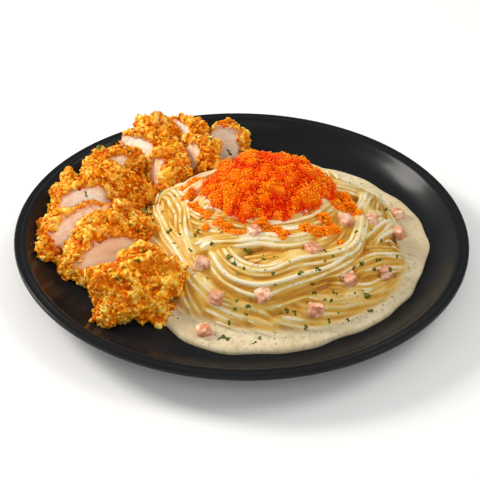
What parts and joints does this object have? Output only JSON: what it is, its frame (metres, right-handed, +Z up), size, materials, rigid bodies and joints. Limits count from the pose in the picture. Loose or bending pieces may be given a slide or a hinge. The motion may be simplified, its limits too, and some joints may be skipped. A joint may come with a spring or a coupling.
{
  "type": "plate of spaghetti carbonara with fried chicken and fish roe",
  "caption": "Swirled nest of spaghetti in cream sauce on a round black coupe plate, topped with orange fish roe and ham cubes, with sliced fried chicken along one side.",
  "frame": {"origin": "on the table under the middle of the plate", "axes": "+Z up; the camera side of the dish is -Y, with the chicken along -X and the sauce pool reaching to +X"},
  "size_m": [0.27, 0.27, 0.0594],
  "materials": {
    "plate_glaze": "satin black glaze",
    "cream_sauce": "thick glossy cream",
    "spaghetti": "cooked noodle coated with cream",
    "fish_roe": "moist translucent eggs",
    "fried_chicken": "crisp golden crust, pale meat at the cuts",
    "ham": "moist pink ham",
    "herb": "dried parsley",
    "pepper": "ground black pepper"
  },
  "bodies": {
    "root": {"plate": "plate_glaze", "cream_sauce": "cream_sauce", "spaghetti_nest": "spaghetti", "roe_mound": "fish_roe", "chicken_1": "fried_chicken", "chicken_2": "fried_chicken", "chicken_3": "fried_chicken", "chicken_4": "fried_chicken", "chicken_5": "fried_chicken", "chicken_6": "fried_chicken", "chicken_7": "fried_chicken", "chicken_8": "fried_chicken", "chicken_9": "fried_chicken", "chicken_10": "fried_chicken", "chicken_11": "fried_chicken", "ham_1": "ham", "ham_2": "ham", "ham_3": "ham", "ham_4": "ham", "ham_5": "ham", "ham_6": "ham", "ham_7": "ham", "ham_8": "ham", "ham_9": "ham", "ham_10": "ham", "ham_11": "ham", "ham_12": "ham", "ham_13": "ham"}
  },
  "joints": []
}
